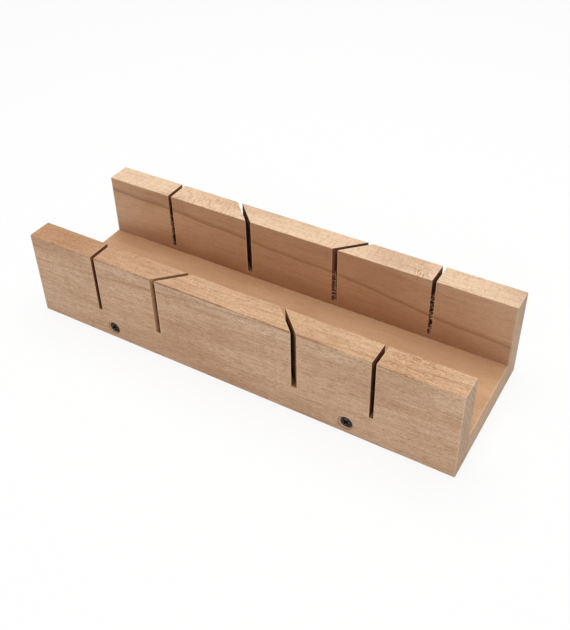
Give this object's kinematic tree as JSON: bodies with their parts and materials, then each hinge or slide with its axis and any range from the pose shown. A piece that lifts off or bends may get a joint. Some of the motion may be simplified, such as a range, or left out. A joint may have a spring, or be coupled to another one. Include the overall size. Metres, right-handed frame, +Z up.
{
  "type": "mitre box",
  "caption": "Open-ended wooden trough with a flat floor and upright side walls, slotted to guide a hand saw for square and 45 degree cuts.",
  "frame": {"origin": "middle of the underside, on the surface the box stands on", "axes": "+X along the box, from its left end to its right end as seen from the front; +Y from the front wall to the rear wall; +Z up"},
  "size_m": [0.3, 0.099, 0.062],
  "materials": {
    "base_beech": "planed, unvarnished",
    "wall_beech": "planed, unvarnished",
    "screw_steel": "black phosphated steel"
  },
  "bodies": {
    "root": {"base_board": "base_beech", "front_wall": "wall_beech", "rear_wall": "wall_beech", "front_screw_left": "screw_steel", "front_screw_right": "screw_steel", "rear_screw_left": "screw_steel", "rear_screw_right": "screw_steel"}
  },
  "joints": []
}
